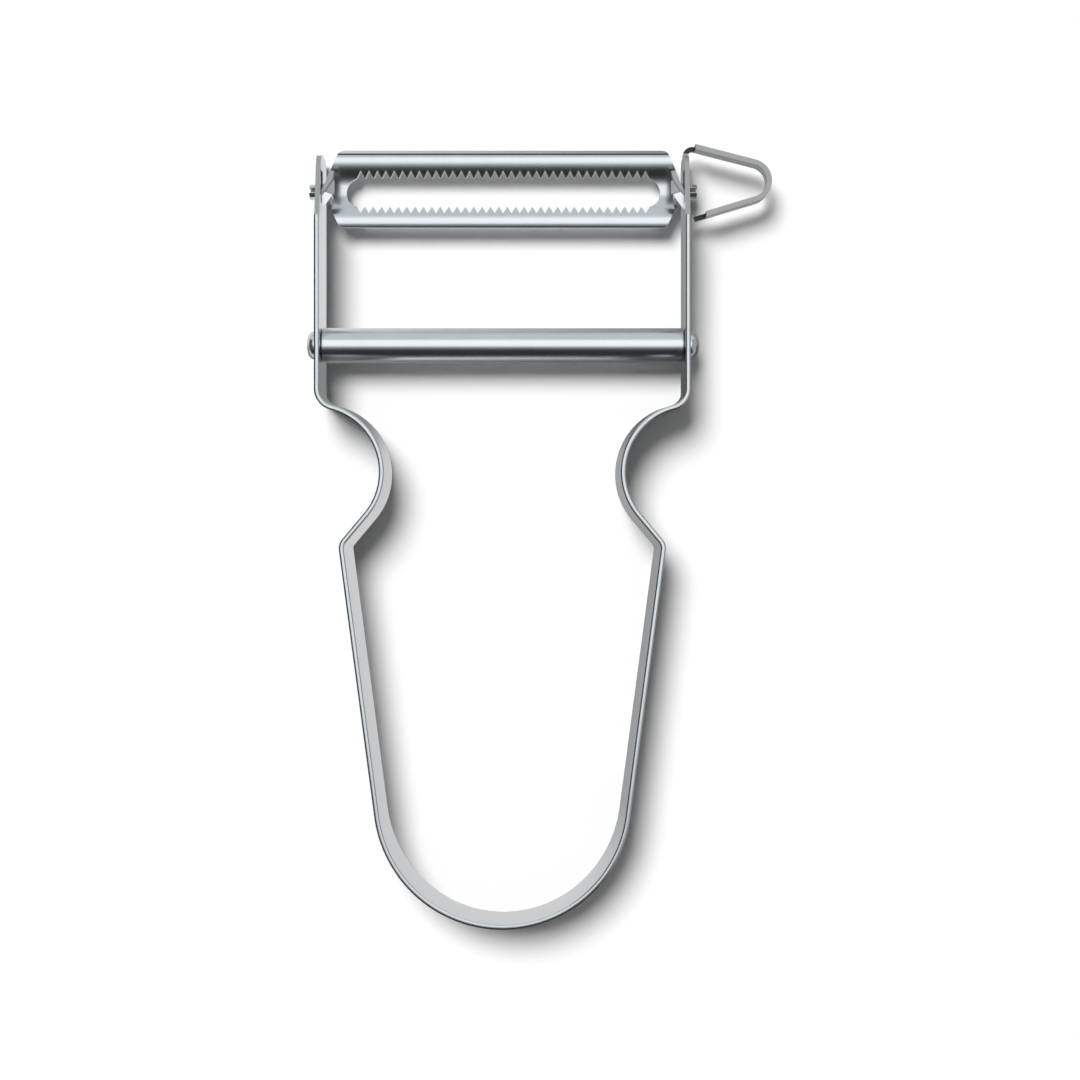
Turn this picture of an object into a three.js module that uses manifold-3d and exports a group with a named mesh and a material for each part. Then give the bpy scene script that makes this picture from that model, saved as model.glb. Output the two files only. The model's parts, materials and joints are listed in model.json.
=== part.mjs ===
// Serrated swivel peeler: a steel strip bent into a bow-shaped handle, a channelled
// double-edged blade that swings between the arms, and a tubular crossbar on a rivet.
// Millimetres. The peeler lies flat: X across the arms, Y from the butt of the handle
// towards the blade, Z up from the strip's back edge. The origin is the middle of the
// strip at the butt.

import * as THREE from 'three';
import { mergeVertices } from 'three/addons/utils/BufferGeometryUtils.js';
import Module from 'manifold-3d';

const wasm = await Module();
wasm.setup();

// Strip of the bow
const STRIP_WIDTH = 8.5;
const STRIP_THICKNESS = 0.7;
const STRIP_EDGE_ROUND = 0.2;
const WALL_LEAN = 0.45;

// Outline of the bow, all radii measured on its outer face
const BUTT_RADIUS = 18.1;
const SIDE_SPLAY = THREE.MathUtils.degToRad(7.55);
const CORNER_RADIUS = 2.0;
const WAIST_SLANT = THREE.MathUtils.degToRad(40);
const GROOVE_RADIUS = 9.0;
const GROOVE_X = 26.3;
const GROOVE_Y = 63.77;
const SHOULDER_RADIUS = 3.1;
const ARM_SPAN = 52.8;
const ARM_LENGTH = 33.5;

// Sheared heads at the ends of the arms
const HEAD_LENGTH = 9.15;
const HEAD_STEP = 0.5;
const HEAD_TAPER = THREE.MathUtils.degToRad(12.6);
const HEAD_FRONT_RADIUS = 1.9;
const HEAD_BACK_RADIUS = 1.6;

// Stop lug pressed inwards out of a window in each head
const LUG_BELOW_PIVOT = 2.1;
const LUG_RISE = 4.5;
const LUG_LEAN = THREE.MathUtils.degToRad(21);
const LUG_WIDTH = 1.5;
const LUG_FRONT_OF_PIVOT = 2.37;
const LUG_ROOT = 0.5;
const LUG_ROOT_INSET = 0.1;
const WINDOW_WIDTH = 2.15;
const WINDOW_END_GAP = 0.15;

// Eye remover: the right arm's tip, narrowed and looped back towards the arm
const LOOP_WIDTH = 2.5;
const LOOP_Z = 4.15;
const LOOP_NECK_RADIUS = 1.35;
const LOOP_UPPER_SLOPE = THREE.MathUtils.degToRad(14.5);
const LOOP_LOWER_SLOPE = THREE.MathUtils.degToRad(16.8);
const LOOP_NOSE_RADIUS = 3.05;
const LOOP_REACH = 11.8;
const LOOP_NOSE_BELOW_TIP = 3.7;
const LOOP_END_GAP = 0.9;
const LOOP_END_NOTCH_LENGTH = 1.6;
const LOOP_NECK_NOTCH_LENGTH = 0.95;
const LOOP_NOTCH_DEPTH = 1.2;

// Blade: a trough with rolled rims, and a tongue at each end rolled into a journal
const PIVOT_BELOW_TIP = 4.9;
const PIVOT_Z = 2.98;
const BLADE_THICKNESS = 0.45;
const BLADE_ABOVE_PIVOT = 0.3;
const BLADE_TROUGH_RADIUS = 4.4;
const BLADE_FLANK_SLOPE = THREE.MathUtils.degToRad(34);
const BLADE_SHOULDER_RADIUS = 3.8;
const BLADE_RIM_RADIUS = 1.8;
const BLADE_RIM_SLOPE = THREE.MathUtils.degToRad(8);
const BLADE_RIM_FALL = THREE.MathUtils.degToRad(46);
const BLADE_RIM_LENGTH = 47.4;
const BLADE_CORNER_RADIUS = 0.9;
const BLADE_END_SLANT = THREE.MathUtils.degToRad(20.8);
const BLADE_END_PLAY = 0.6;
const NOTCH_INSET = 0.1;
const TONGUE_ABOVE_PIVOT = 2.4;
const TONGUE_BELOW_PIVOT = 2.5;
const TONGUE_EMBED = 0.6;
const TONGUE_ROOT_SKIN = 0.05;
const JOURNAL_DIAMETER = 2.2;
const JOURNAL_PROUD = 1.3;
const JOURNAL_CLEARANCE = 0.15;

// Serrated slot in the blade
const TOOTH_PITCH = 1.2;
const TOOTH_VALLEYS = 35;
const TOOTH_DEPTH = 1.05;
const SLOT_TIP_GAP = 4.1;
const SLOT_LENGTH = 45.1;

// Crossbar and the rivet through it
const CROSSBAR_ABOVE_SHOULDER = 6.5;
const CROSSBAR_DIAMETER = 4.9;
const CROSSBAR_WALL = 0.5;
const CROSSBAR_SEAM = THREE.MathUtils.degToRad(6);
const CROSSBAR_END_GAP = 0.1;
const RIVET_SHANK_DIAMETER = 3.0;
const RIVET_HOLE_CLEARANCE = 0.1;
const RIVET_HEAD_DIAMETER = 4.1;
const RIVET_BUTTON_HEIGHT = 1.4;
const RIVET_PEENED_HEIGHT = 1.5;
const RIVET_HEAD_GAP = 0.05;

// Facets
const ARC_STEP = THREE.MathUtils.degToRad(7);
const ROUND_SIDES = 32;
const CUT_MARGIN = 1.0;

// Values that follow from the sizes above
const HALF_STRIP = STRIP_THICKNESS / 2;
const STRIP_MIDDLE_Z = STRIP_WIDTH / 2;
const ARM_X = ARM_SPAN / 2 - HALF_STRIP;
const ARM_INNER_X = ARM_X - HALF_STRIP;
const ARM_OUTER_X = ARM_X + HALF_STRIP;
const GROOVE_MIDDLE_RADIUS = GROOVE_RADIUS + HALF_STRIP;
const SHOULDER_MIDDLE_RADIUS = SHOULDER_RADIUS - HALF_STRIP;
const SHOULDER_X = ARM_X - SHOULDER_MIDDLE_RADIUS;
const GROOVE_TO_SHOULDER = GROOVE_MIDDLE_RADIUS + SHOULDER_MIDDLE_RADIUS;
const SHOULDER_RISE = Math.sqrt(GROOVE_TO_SHOULDER ** 2 - (GROOVE_X - SHOULDER_X) ** 2);
const SHOULDER_Y = GROOVE_Y + SHOULDER_RISE;
const TIP_Y = SHOULDER_Y + ARM_LENGTH;
const PIVOT_Y = TIP_Y - PIVOT_BELOW_TIP;
const CROSSBAR_Y = SHOULDER_Y + CROSSBAR_ABOVE_SHOULDER;
const LOOP_FRONT_Z = LOOP_Z + LOOP_WIDTH / 2;
const LOOP_BACK_Z = LOOP_Z - LOOP_WIDTH / 2;
const JOURNAL_RADIUS = JOURNAL_DIAMETER / 2;
const RIVET_SHANK_RADIUS = RIVET_SHANK_DIAMETER / 2;

const STAINLESS = { color: 0xb4babf, metalness: 1.0, roughness: 0.22 };
const GROUND_STEEL = { color: 0xa9b0b6, metalness: 1.0, roughness: 0.18 };

// Solids from meshes and back

function toSolid(geometry) {
  const bare = geometry.index ? geometry.toNonIndexed() : geometry.clone();
  bare.deleteAttribute('normal');
  bare.deleteAttribute('uv');
  const merged = mergeVertices(bare, 1e-4);
  const mesh = new wasm.Mesh({
    numProp: 3,
    vertProperties: new Float32Array(merged.attributes.position.array),
    triVerts: new Uint32Array(merged.index.array),
  });
  return new wasm.Manifold(mesh);
}

function toGeometry(solid) {
  const mesh = solid.getMesh();
  const geometry = new THREE.BufferGeometry();
  geometry.setAttribute('position', new THREE.BufferAttribute(mesh.vertProperties, 3));
  geometry.setIndex(new THREE.BufferAttribute(mesh.triVerts, 1));
  geometry.computeVertexNormals();
  return geometry;
}

// A closed solid through rings of points. Each ring runs anticlockwise round the way
// that the rings follow each other, and all rings share one flat pattern for the caps.
function loft(rings, pattern) {
  const count = pattern.length;
  const positions = rings.flat().flatMap((point) => [point.x, point.y, point.z]);
  const index = [];
  for (let ring = 0; ring + 1 < rings.length; ring += 1) {
    for (let side = 0; side < count; side += 1) {
      const next = (side + 1) % count;
      const here = ring * count;
      const there = here + count;
      index.push(here + side, here + next, there + next);
      index.push(here + side, there + next, there + side);
    }
  }
  const lastRing = (rings.length - 1) * count;
  for (const [a, b, c] of THREE.ShapeUtils.triangulateShape(pattern, [])) {
    index.push(a, c, b);
    index.push(lastRing + a, lastRing + b, lastRing + c);
  }
  const geometry = new THREE.BufferGeometry();
  geometry.setAttribute('position', new THREE.Float32BufferAttribute(positions, 3));
  geometry.setIndex(index);
  return geometry;
}

function stepsFor(angle) {
  return Math.max(2, Math.ceil(Math.abs(angle) / ARC_STEP));
}

// Points of an arc, both ends included, as [across, up] pairs
function arcPoints(centreA, centreB, radius, from, to) {
  const steps = stepsFor(to - from);
  return Array.from({ length: steps + 1 }, (unused, i) => {
    const angle = from + ((to - from) * i) / steps;
    return new THREE.Vector2(centreA + radius * Math.cos(angle), centreB + radius * Math.sin(angle));
  });
}

// A flat outline in the Y-Z plane, given as points (y, z), run along X
function plateAlongX(outline, fromX, toX) {
  const shape = new THREE.Shape(outline);
  const geometry = new THREE.ExtrudeGeometry(shape, { depth: toX - fromX, bevelEnabled: false });
  const yToX = new THREE.Matrix4().set(0, 0, 1, fromX, 1, 0, 0, 0, 0, 1, 0, 0, 0, 0, 0, 1);
  return geometry.applyMatrix4(yToX);
}

// A flat outline in the X-Y plane run along Z
function prism(outline, fromZ, toZ) {
  const shape = new THREE.Shape(outline);
  const geometry = new THREE.ExtrudeGeometry(shape, { depth: toZ - fromZ, bevelEnabled: false });
  return toSolid(geometry.translate(0, 0, fromZ));
}

function box(fromX, toX, fromY, toY, fromZ, toZ) {
  const geometry = new THREE.BoxGeometry(toX - fromX, toY - fromY, toZ - fromZ);
  return geometry.translate((fromX + toX) / 2, (fromY + toY) / 2, (fromZ + toZ) / 2);
}

function rodAlongX(radius, fromX, toX, y, z) {
  const geometry = new THREE.CylinderGeometry(radius, radius, toX - fromX, ROUND_SIDES);
  return geometry.rotateZ(Math.PI / 2).translate((fromX + toX) / 2, y, z);
}

function mirrored(solid) {
  return solid.mirror([1, 0, 0]);
}

// Bow

// One place on the strip's middle line: where it is, which way it runs, how far it leans
function station(x, y, heading, lean) {
  return { x, y, heading, lean };
}

// Places round a bend of the strip, from one heading to another; turn is 1 to the left, -1 to the right
function bend(centre, radius, from, to, turn, leanFrom, leanTo) {
  const steps = stepsFor(to - from);
  return Array.from({ length: steps + 1 }, (unused, i) => {
    const part = i / steps;
    const heading = from + (to - from) * part;
    const side = heading - (turn * Math.PI) / 2;
    const lean = leanFrom + (leanTo - leanFrom) * THREE.MathUtils.smoothstep(part, 0, 1);
    return station(centre.x + radius * Math.cos(side), centre.y + radius * Math.sin(side), heading, lean);
  });
}

// The right half of the bow, from the butt to the foot of the head
function halfBowStations() {
  const upright = Math.PI / 2;
  const buttRadius = BUTT_RADIUS - HALF_STRIP;
  const cornerRadius = CORNER_RADIUS - HALF_STRIP;
  const sideHeading = upright - SIDE_SPLAY;
  const waistHeading = upright + WAIST_SLANT;

  const sideRun = new THREE.Vector2(Math.cos(sideHeading), Math.sin(sideHeading));
  const waistRun = new THREE.Vector2(Math.cos(waistHeading), Math.sin(waistHeading));
  const sideFoot = new THREE.Vector2(Math.cos(SIDE_SPLAY), -Math.sin(SIDE_SPLAY));
  sideFoot.multiplyScalar(buttRadius).add(new THREE.Vector2(0, buttRadius));
  const waistTop = new THREE.Vector2(-Math.cos(WAIST_SLANT), -Math.sin(WAIST_SLANT));
  waistTop.multiplyScalar(GROOVE_MIDDLE_RADIUS).add(new THREE.Vector2(GROOVE_X, GROOVE_Y));

  const apart = waistTop.clone().sub(sideFoot);
  const sideLength = apart.cross(waistRun) / sideRun.cross(waistRun);
  const sharpCorner = sideFoot.clone().addScaledVector(sideRun, sideLength);
  const setBack = cornerRadius * Math.tan((SIDE_SPLAY + WAIST_SLANT) / 2);
  const cornerCentre = sharpCorner.clone().addScaledVector(sideRun, -setBack);
  cornerCentre.add(new THREE.Vector2(-sideRun.y, sideRun.x).multiplyScalar(cornerRadius));

  const shoulderHeading = Math.atan2(GROOVE_X - SHOULDER_X, SHOULDER_RISE);
  const groove = { x: GROOVE_X, y: GROOVE_Y };
  const shoulder = { x: SHOULDER_X, y: SHOULDER_Y };

  return [
    ...bend({ x: 0, y: buttRadius }, buttRadius, 0, sideHeading, 1, 0, WALL_LEAN),
    ...bend(cornerCentre, cornerRadius, sideHeading, waistHeading, 1, WALL_LEAN, WALL_LEAN),
    ...bend(groove, GROOVE_MIDDLE_RADIUS, waistHeading, shoulderHeading, -1, WALL_LEAN, WALL_LEAN),
    ...bend(shoulder, SHOULDER_MIDDLE_RADIUS, shoulderHeading, upright, 1, WALL_LEAN, 0).slice(1),
  ];
}

// The eye remover, from the right arm's tip round its nose to the free end
function loopStations() {
  const neckRadius = LOOP_NECK_RADIUS - HALF_STRIP;
  const noseRadius = LOOP_NOSE_RADIUS - HALF_STRIP;
  const upperHeading = -LOOP_UPPER_SLOPE;
  const lowerHeading = LOOP_LOWER_SLOPE - Math.PI;
  const noseX = ARM_OUTER_X + LOOP_REACH - LOOP_NOSE_RADIUS;
  const noseY = TIP_Y - LOOP_NOSE_BELOW_TIP;

  const neckX = ARM_X + neckRadius;
  const outward = new THREE.Vector2(Math.sin(LOOP_UPPER_SLOPE), Math.cos(LOOP_UPPER_SLOPE));
  const neckY = noseY + (noseRadius - neckRadius - (neckX - noseX) * outward.x) / outward.y;
  const legStart = new THREE.Vector2(Math.sin(LOOP_LOWER_SLOPE), -Math.cos(LOOP_LOWER_SLOPE));
  legStart.multiplyScalar(noseRadius).add(new THREE.Vector2(noseX, noseY));
  const legRun = (legStart.x - ARM_OUTER_X - LOOP_END_GAP) / Math.cos(LOOP_LOWER_SLOPE);
  const legEnd = legStart.clone();
  legEnd.x -= legRun * Math.cos(LOOP_LOWER_SLOPE);
  legEnd.y -= legRun * Math.sin(LOOP_LOWER_SLOPE);

  return [
    ...bend({ x: neckX, y: neckY }, neckRadius, Math.PI / 2, upperHeading, -1, 0, 0),
    ...bend({ x: noseX, y: noseY }, noseRadius, upperHeading, lowerHeading, -1, 0, 0),
    station(legEnd.x, legEnd.y, lowerHeading, 0),
  ];
}

function stripPattern() {
  const inner = HALF_STRIP - STRIP_EDGE_ROUND;
  const low = STRIP_EDGE_ROUND;
  const high = STRIP_WIDTH - STRIP_EDGE_ROUND;
  const corners = [[inner, low, -1], [inner, high, 0], [-inner, high, 1], [-inner, low, 2]];
  return corners.flatMap(([across, up, quarter]) =>
    [0, 0.5, 1].map((part) => {
      const angle = ((quarter + part) * Math.PI) / 2;
      return new THREE.Vector2(
        across + STRIP_EDGE_ROUND * Math.cos(angle),
        up + STRIP_EDGE_ROUND * Math.sin(angle),
      );
    }),
  );
}

function stripSolid(stations) {
  const pattern = stripPattern();
  const rings = stations.map(({ x, y, heading, lean }) =>
    pattern.map((point) => {
      const inward = point.x + lean * (1 - point.y / STRIP_WIDTH);
      return new THREE.Vector3(x - inward * Math.sin(heading), y + inward * Math.cos(heading), point.y);
    }),
  );
  return toSolid(loft(rings, pattern));
}

// What is sheared off the right arm's front and back edges to leave its head and neck
function headOffcuts(tipFrontZ, tipBackZ) {
  const footY = TIP_Y - HEAD_LENGTH;
  const beyondY = TIP_Y + LOOP_REACH;
  const frontZ = STRIP_WIDTH + CUT_MARGIN;
  const footZ = STRIP_WIDTH - HEAD_STEP;
  const roundY = TIP_Y - HEAD_FRONT_RADIUS;
  const taperZ = footZ - (roundY - footY) * Math.tan(HEAD_TAPER);
  const roundZ = taperZ - HEAD_FRONT_RADIUS / Math.cos(HEAD_TAPER);
  const lastAngle = Math.asin(THREE.MathUtils.clamp((tipFrontZ - roundZ) / HEAD_FRONT_RADIUS, 0, 1));
  const front = [
    new THREE.Vector2(footY, frontZ),
    new THREE.Vector2(footY, footZ),
    ...arcPoints(roundY, roundZ, HEAD_FRONT_RADIUS, Math.PI / 2 - HEAD_TAPER, lastAngle),
    new THREE.Vector2(beyondY, roundZ + HEAD_FRONT_RADIUS * Math.sin(lastAngle)),
    new THREE.Vector2(beyondY, frontZ),
  ];
  const back = [
    new THREE.Vector2(TIP_Y - HEAD_BACK_RADIUS, -CUT_MARGIN),
    ...arcPoints(TIP_Y - HEAD_BACK_RADIUS, HEAD_BACK_RADIUS, HEAD_BACK_RADIUS, -Math.PI / 2, 0),
    new THREE.Vector2(TIP_Y, tipBackZ),
    new THREE.Vector2(beyondY, tipBackZ),
    new THREE.Vector2(beyondY, -CUT_MARGIN),
  ];
  const fromX = ARM_INNER_X - CUT_MARGIN;
  const toX = ARM_OUTER_X + LOOP_NECK_NOTCH_LENGTH;
  return toSolid(plateAlongX(front, fromX, toX)).add(toSolid(plateAlongX(back, fromX, toX)));
}

// What is taken off the loop's strip to leave its narrow band and its notched free end
function loopOffcuts() {
  const fromX = ARM_OUTER_X + LOOP_END_GAP / 4;
  const toX = ARM_OUTER_X + LOOP_REACH + CUT_MARGIN;
  const fromY = TIP_Y - LOOP_REACH;
  const toY = TIP_Y + LOOP_REACH;
  const front = toSolid(box(fromX, toX, fromY, toY, LOOP_FRONT_Z, STRIP_WIDTH + CUT_MARGIN));
  const back = toSolid(box(fromX, toX, fromY, toY, -CUT_MARGIN, LOOP_BACK_Z));
  const notchX = ARM_OUTER_X + LOOP_END_GAP + LOOP_END_NOTCH_LENGTH;
  const notchY = TIP_Y - LOOP_NOSE_BELOW_TIP - LOOP_NOSE_RADIUS;
  const notchZ = LOOP_FRONT_Z - LOOP_NOTCH_DEPTH;
  const notch = toSolid(box(fromX, notchX, fromY, notchY, notchZ, LOOP_FRONT_Z + CUT_MARGIN));
  return front.add(back).add(notch);
}

// The bearing hole with the lug's window over it, and the rivet's hole, for the right arm
function armHoles() {
  const fromX = ARM_INNER_X - CUT_MARGIN;
  const toX = ARM_OUTER_X + LOOP_END_GAP / 2;
  const windowZ = PIVOT_Z + LUG_FRONT_OF_PIVOT - WINDOW_WIDTH / 2;
  const windowFoot = PIVOT_Y - LUG_BELOW_PIVOT;
  const windowTop = windowFoot + LUG_RISE + WINDOW_END_GAP;
  const rivetRadius = RIVET_SHANK_RADIUS + RIVET_HOLE_CLEARANCE;
  const bearing = toSolid(rodAlongX(JOURNAL_RADIUS + JOURNAL_CLEARANCE, fromX, toX, PIVOT_Y, PIVOT_Z));
  const window = toSolid(box(fromX, toX, windowFoot, windowTop, windowZ, windowZ + WINDOW_WIDTH));
  const rivet = toSolid(rodAlongX(rivetRadius, fromX, toX, CROSSBAR_Y, STRIP_MIDDLE_Z));
  return bearing.add(window).add(rivet);
}

// The lug of the right arm, hinged at the window's foot and leaning in towards the blade
function lugSolid() {
  const footY = PIVOT_Y - LUG_BELOW_PIVOT;
  const tipY = footY + LUG_RISE;
  const lugZ = PIVOT_Z + LUG_FRONT_OF_PIVOT - LUG_WIDTH / 2;
  const sheetX = STRIP_THICKNESS / Math.cos(LUG_LEAN);
  const leanX = LUG_RISE * Math.tan(LUG_LEAN);
  const outerX = ARM_OUTER_X - LUG_ROOT_INSET;
  const outline = [
    new THREE.Vector2(outerX, footY - LUG_ROOT),
    new THREE.Vector2(outerX, footY),
    new THREE.Vector2(outerX - leanX, tipY),
    new THREE.Vector2(outerX - leanX - sheetX, tipY),
    new THREE.Vector2(ARM_INNER_X + LUG_ROOT_INSET, footY),
    new THREE.Vector2(ARM_INNER_X + LUG_ROOT_INSET, footY - LUG_ROOT),
  ];
  return prism(outline, lugZ, lugZ + LUG_WIDTH);
}

function buildBow() {
  const rightHalf = halfBowStations();
  const mirroredStation = ({ x, y, heading, lean }) => station(-x, y, -heading, lean);
  const leftHalf = rightHalf.slice(1).reverse().map(mirroredStation);
  const leftTip = station(-ARM_X, TIP_Y, -Math.PI / 2, 0);
  const strip = stripSolid([leftTip, ...leftHalf, ...rightHalf, ...loopStations()]);
  const holes = armHoles();
  const lug = lugSolid();
  const tipMiddleZ = HEAD_BACK_RADIUS;
  return strip
    .subtract(headOffcuts(LOOP_FRONT_Z - LOOP_NOTCH_DEPTH, LOOP_BACK_Z))
    .subtract(mirrored(headOffcuts(tipMiddleZ, tipMiddleZ)))
    .subtract(loopOffcuts())
    .subtract(holes)
    .subtract(mirrored(holes))
    .add(lug)
    .add(mirrored(lug));
}

// Blade, drawn about its pivot: x along the blade, y across it, z towards the front

const TROUGH_FRONT_Z = BLADE_THICKNESS - JOURNAL_RADIUS;
const TROUGH_CENTRE_Z = TROUGH_FRONT_Z + BLADE_TROUGH_RADIUS;
const TROUGH_TO_SHOULDER = BLADE_TROUGH_RADIUS + BLADE_SHOULDER_RADIUS;
const SHOULDER_TO_RIDGE = BLADE_SHOULDER_RADIUS - BLADE_RIM_RADIUS;
const BLADE_SHOULDER_Y = TROUGH_TO_SHOULDER * Math.sin(BLADE_FLANK_SLOPE);
const BLADE_SHOULDER_Z = TROUGH_CENTRE_Z - TROUGH_TO_SHOULDER * Math.cos(BLADE_FLANK_SLOPE);
const RIDGE_Y = BLADE_SHOULDER_Y - SHOULDER_TO_RIDGE * Math.sin(BLADE_RIM_SLOPE);
const RIDGE_CENTRE_Z = BLADE_SHOULDER_Z + SHOULDER_TO_RIDGE * Math.cos(BLADE_RIM_SLOPE);
const HALF_SHEET = BLADE_THICKNESS / 2;
const RIM_MIDDLE_RADIUS = BLADE_RIM_RADIUS - HALF_SHEET;
const RIM_EDGE_Y = RIDGE_Y + RIM_MIDDLE_RADIUS * Math.sin(BLADE_RIM_FALL);
const RIM_EDGE_Z = RIDGE_CENTRE_Z + RIM_MIDDLE_RADIUS * Math.cos(BLADE_RIM_FALL);
const HALF_BLADE_WIDTH = RIM_EDGE_Y + HALF_SHEET * Math.cos(BLADE_RIM_FALL);
const SHOULDER_REACH = ARM_INNER_X - BLADE_END_PLAY;

// Half of the blade's section, out along its back, round the rim's edge and in along its front
function halfSection() {
  const up = Math.PI / 2;
  const flankAngle = BLADE_FLANK_SLOPE - up;
  const shoulderAngle = up + BLADE_FLANK_SLOPE;
  const ridgeAngle = up + BLADE_RIM_SLOPE;
  const rimAngle = up - BLADE_RIM_FALL;
  const shoulder = (radius, from, to) => arcPoints(BLADE_SHOULDER_Y, BLADE_SHOULDER_Z, radius, from, to);
  const ridge = (radius, from, to) => arcPoints(RIDGE_Y, RIDGE_CENTRE_Z, radius, from, to);
  return [
    ...arcPoints(0, TROUGH_CENTRE_Z, BLADE_TROUGH_RADIUS + BLADE_THICKNESS, -up, flankAngle),
    ...shoulder(BLADE_SHOULDER_RADIUS - BLADE_THICKNESS, shoulderAngle, ridgeAngle).slice(1),
    ...ridge(BLADE_RIM_RADIUS - BLADE_THICKNESS, ridgeAngle, rimAngle).slice(1, -1),
    ...arcPoints(RIM_EDGE_Y, RIM_EDGE_Z, HALF_SHEET, rimAngle - Math.PI, rimAngle),
    ...ridge(BLADE_RIM_RADIUS, rimAngle, ridgeAngle).slice(1),
    ...shoulder(BLADE_SHOULDER_RADIUS, ridgeAngle, shoulderAngle).slice(1, -1),
    ...arcPoints(0, TROUGH_CENTRE_Z, BLADE_TROUGH_RADIUS, flankAngle, -up),
  ];
}

function troughSolid() {
  const half = halfSection();
  const other = half.slice(1, -1).reverse().map((point) => new THREE.Vector2(-point.x, point.y));
  return toSolid(plateAlongX([...half, ...other], -ARM_X, ARM_X)).translate([0, BLADE_ABOVE_PIVOT, 0]);
}

// The blade seen from the front: long rims, sloping shoulders, a notch either side of each tongue
function blankOutline() {
  const rimX = BLADE_RIM_LENGTH / 2;
  const notchX = rimX - NOTCH_INSET;
  const cornerX = rimX - BLADE_CORNER_RADIUS;
  const corner = arcPoints(cornerX, 0, BLADE_CORNER_RADIUS, BLADE_END_SLANT, Math.PI / 2);
  const quarter = (rimY, tongueY) => {
    const slopeX = rimX + (rimY - tongueY) * Math.tan(BLADE_END_SLANT);
    const cornerY = rimY - BLADE_CORNER_RADIUS;
    return [
      new THREE.Vector2(notchX, tongueY),
      new THREE.Vector2(Math.min(slopeX, SHOULDER_REACH), tongueY),
      ...corner.map((point) => new THREE.Vector2(point.x, point.y + cornerY)),
      new THREE.Vector2(cornerX - BLADE_CORNER_RADIUS, rimY + BLADE_THICKNESS),
    ];
  };
  const upper = quarter(HALF_BLADE_WIDTH + BLADE_ABOVE_PIVOT, TONGUE_ABOVE_PIVOT);
  const lower = quarter(HALF_BLADE_WIDTH - BLADE_ABOVE_PIVOT, TONGUE_BELOW_PIVOT);
  const right = [...lower.map((point) => new THREE.Vector2(point.x, -point.y)).reverse(), ...upper];
  const left = right.map((point) => new THREE.Vector2(-point.x, point.y)).reverse();
  return [...right, ...left];
}

// The open slot with a saw edge along both sides and a round bay at each end
function slotOutline() {
  const tipY = SLOT_TIP_GAP / 2;
  const valleyY = tipY + TOOTH_DEPTH;
  const lastTipX = (TOOTH_VALLEYS * TOOTH_PITCH) / 2;
  const endX = SLOT_LENGTH / 2;
  const bayRadius = ((endX - lastTipX) ** 2 + tipY ** 2) / (2 * (endX - lastTipX));
  const bayAngle = Math.atan2(tipY, lastTipX - endX + bayRadius);
  const rightBay = arcPoints(endX - bayRadius, 0, bayRadius, -bayAngle, bayAngle);
  const upperEdge = [];
  for (let tooth = 0; tooth < TOOTH_VALLEYS; tooth += 1) {
    const tipX = lastTipX - tooth * TOOTH_PITCH;
    upperEdge.push(new THREE.Vector2(tipX - TOOTH_PITCH / 2, valleyY));
    upperEdge.push(new THREE.Vector2(tipX - TOOTH_PITCH, tipY));
  }
  upperEdge.pop();
  const half = [...rightBay, ...upperEdge];
  return [...half, ...half.map((point) => new THREE.Vector2(-point.x, -point.y))];
}

// The tongue at the blade's right end: flat where it leaves the channel, then rolled up
// round the pivot into a tubular journal whose seam faces the front
function tongueSolid() {
  const freeX = BLADE_RIM_LENGTH / 2 - NOTCH_INSET;
  const rolledX = SHOULDER_REACH;
  const endX = ARM_OUTER_X + JOURNAL_PROUD;
  const flatCurve = 1 / (BLADE_TROUGH_RADIUS + HALF_SHEET);
  const rolledCurve = 1 / (JOURNAL_RADIUS - HALF_SHEET);
  const middleZ = HALF_SHEET - JOURNAL_RADIUS;
  const rootHalf = HALF_SHEET - TONGUE_ROOT_SKIN;
  const rollSteps = 6;
  const acrossSteps = 22;

  const stations = [
    { x: freeX - TONGUE_EMBED, roll: 0, half: rootHalf },
    { x: freeX, roll: 0, half: rootHalf },
  ];
  for (let step = 1; step <= rollSteps; step += 1) {
    const part = step / rollSteps;
    const roll = THREE.MathUtils.smoothstep(part, 0, 1);
    stations.push({ x: freeX + (rolledX - freeX) * part, roll, half: HALF_SHEET });
  }
  stations.push({ x: endX, roll: 1, half: HALF_SHEET });

  const edge = (curve, half, side, shift) =>
    Array.from({ length: acrossSteps + 1 }, (unused, i) => {
      const run = -TONGUE_BELOW_PIVOT + ((TONGUE_ABOVE_PIVOT + TONGUE_BELOW_PIVOT) * i) / acrossSteps;
      const angle = run * curve;
      const radius = 1 / curve + side * half;
      const z = middleZ + 1 / curve - radius * Math.cos(angle);
      return new THREE.Vector2(radius * Math.sin(angle) + shift, z);
    });
  const section = (roll, half) => {
    const curve = flatCurve + (rolledCurve - flatCurve) * roll;
    const shift = BLADE_ABOVE_PIVOT * (1 - roll);
    return [...edge(curve, half, 1, shift), ...edge(curve, half, -1, shift).reverse()];
  };
  const rings = stations.map(({ x, roll, half }) =>
    section(roll, half).map((point) => new THREE.Vector3(x, point.x, point.y)),
  );
  return toSolid(loft(rings, section(0, HALF_SHEET)));
}

function buildBlade() {
  const reachZ = BLADE_TROUGH_RADIUS;
  const blank = troughSolid().intersect(prism(blankOutline(), -reachZ, reachZ));
  const serrated = blank.subtract(prism(slotOutline(), -reachZ, reachZ));
  const tongue = tongueSolid();
  return serrated.add(tongue).add(mirrored(tongue)).translate([0, PIVOT_Y, PIVOT_Z]);
}

// Crossbar: a sheet rolled into a tube, its seam at the back

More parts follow.
